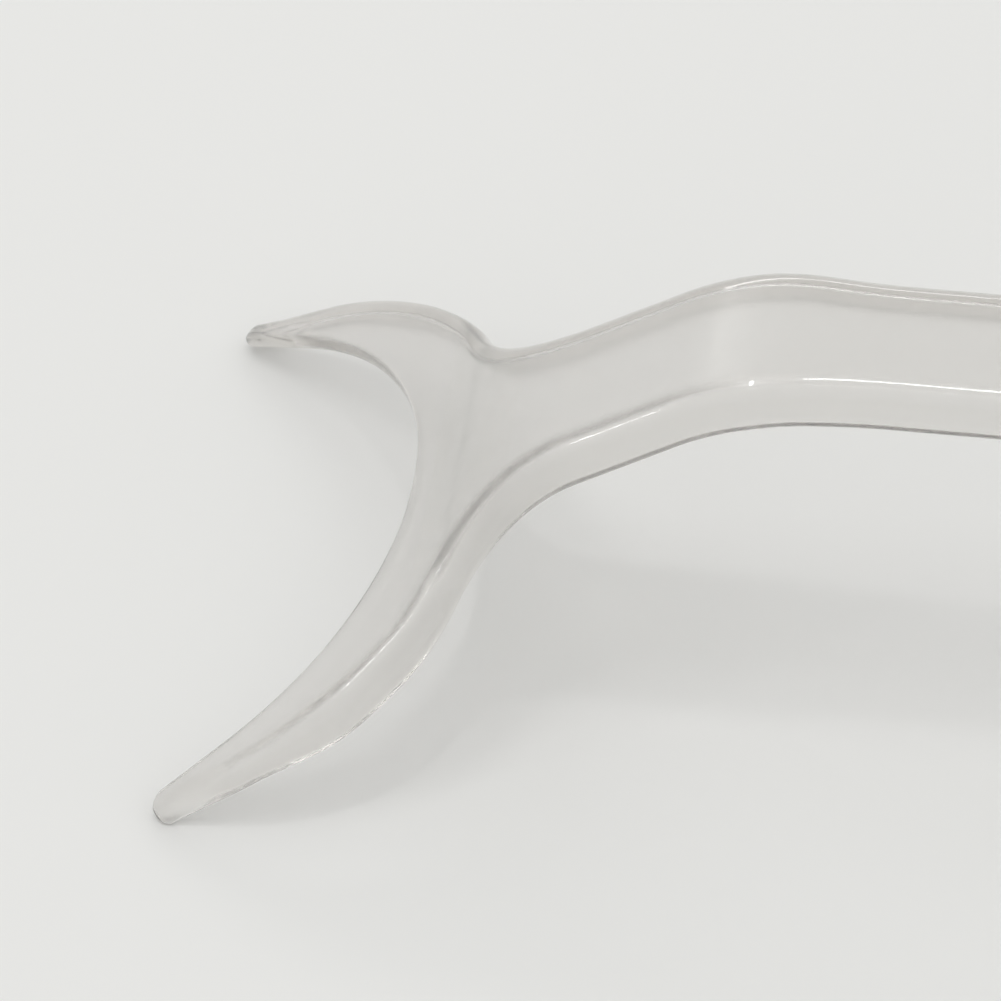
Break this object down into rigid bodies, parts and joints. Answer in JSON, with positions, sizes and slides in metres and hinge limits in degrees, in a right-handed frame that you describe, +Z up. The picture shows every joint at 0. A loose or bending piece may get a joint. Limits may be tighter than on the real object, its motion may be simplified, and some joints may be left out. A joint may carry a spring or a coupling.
{
  "type": "cheek retractor",
  "caption": "Clear moulded dental cheek retractor: a channel-section handle that steps down to a round-mouthed, two-pronged fork at each end.",
  "frame": {"origin": "on the table under the middle of the handle, between the four prong tips that the retractor stands on", "axes": "+X along the handle from the left fork to the right fork, +Y across it towards the back prongs, +Z up, away from the table"},
  "size_m": [0.1452, 0.0578, 0.0327],
  "materials": {
    "clear_plastic": "clear, polished moulding"
  },
  "bodies": {
    "root": {"blade_left_back": "clear_plastic", "blade_left_front": "clear_plastic", "blade_right_back": "clear_plastic", "blade_right_front": "clear_plastic", "grip": "clear_plastic", "neck_left": "clear_plastic", "neck_right": "clear_plastic", "root_left_back": "clear_plastic", "root_left_front": "clear_plastic", "root_right_back": "clear_plastic", "root_right_front": "clear_plastic", "shoulder_left": "clear_plastic", "shoulder_right": "clear_plastic", "stem_left": "clear_plastic", "stem_right": "clear_plastic", "tip_left_back": "clear_plastic", "tip_left_front": "clear_plastic", "tip_right_back": "clear_plastic", "tip_right_front": "clear_plastic"}
  },
  "joints": []
}
